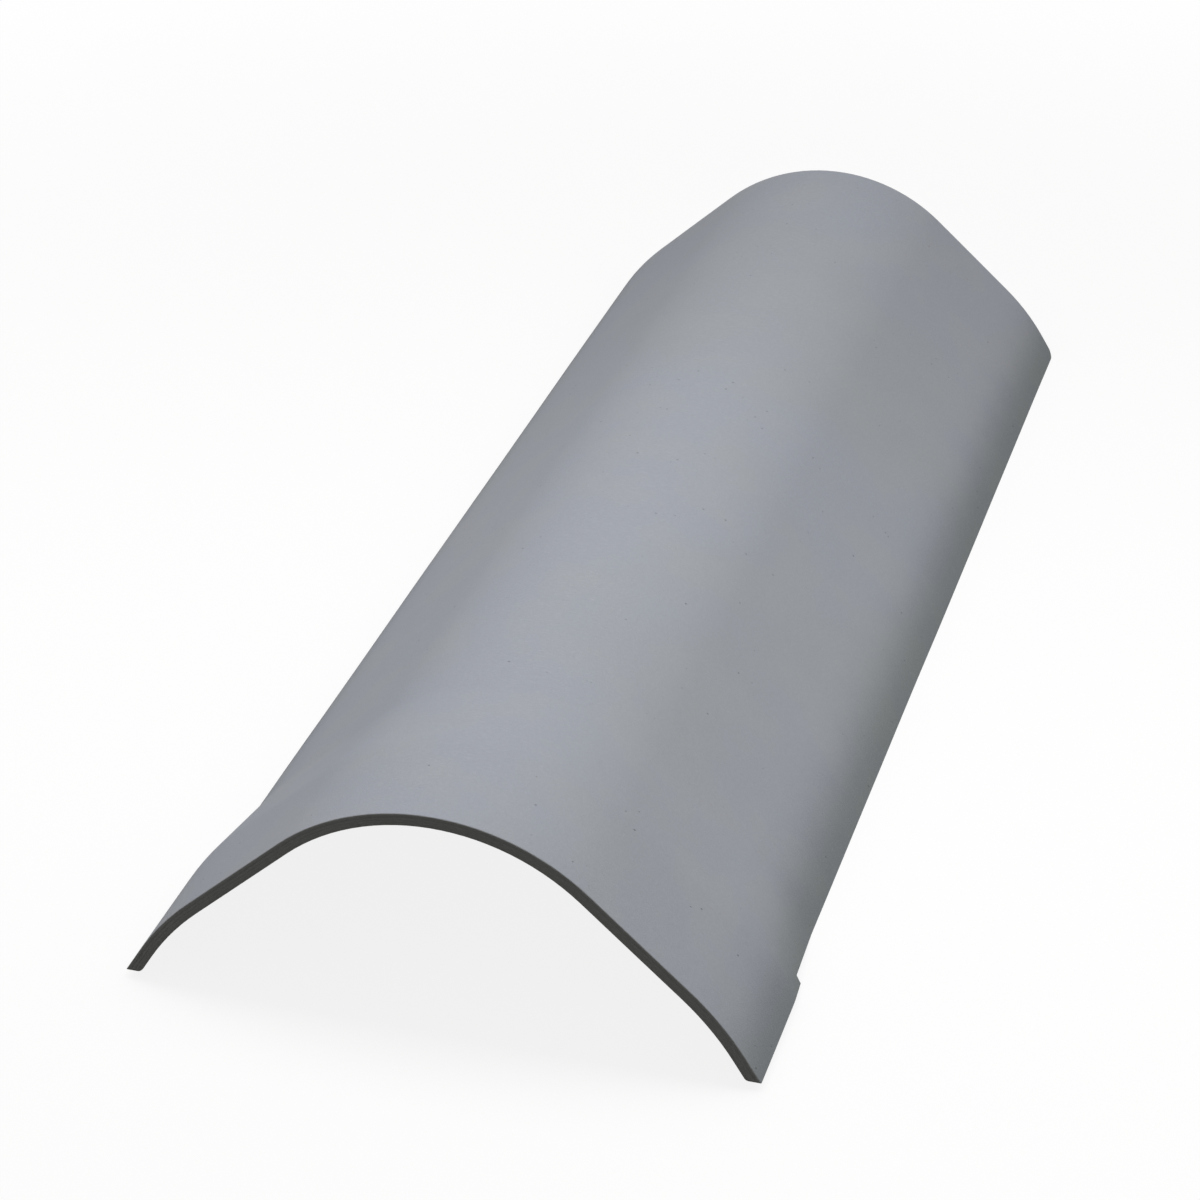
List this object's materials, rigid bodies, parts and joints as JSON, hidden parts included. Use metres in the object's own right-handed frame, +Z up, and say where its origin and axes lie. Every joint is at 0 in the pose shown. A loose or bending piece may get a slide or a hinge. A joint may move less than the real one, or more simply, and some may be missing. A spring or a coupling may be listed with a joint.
{
  "type": "fibre cement hip cap",
  "caption": "Roll-topped fibre cement hip cap with flat flanks, turned-down lips and a flared socket at one end that laps over the tail of the next cap along a roof hip.",
  "frame": {"origin": "on the floor under the middle of the cap, at the level of the lips' lower edges", "axes": "+Y along the cap from the socket to the tail, +Z up through the crown, +X across"},
  "size_m": [0.2892, 0.75, 0.1107],
  "materials": {
    "fibre_cement": "matte, unpainted moulded sheet"
  },
  "bodies": {
    "root": {"hip_cap": "fibre_cement"}
  },
  "joints": []
}
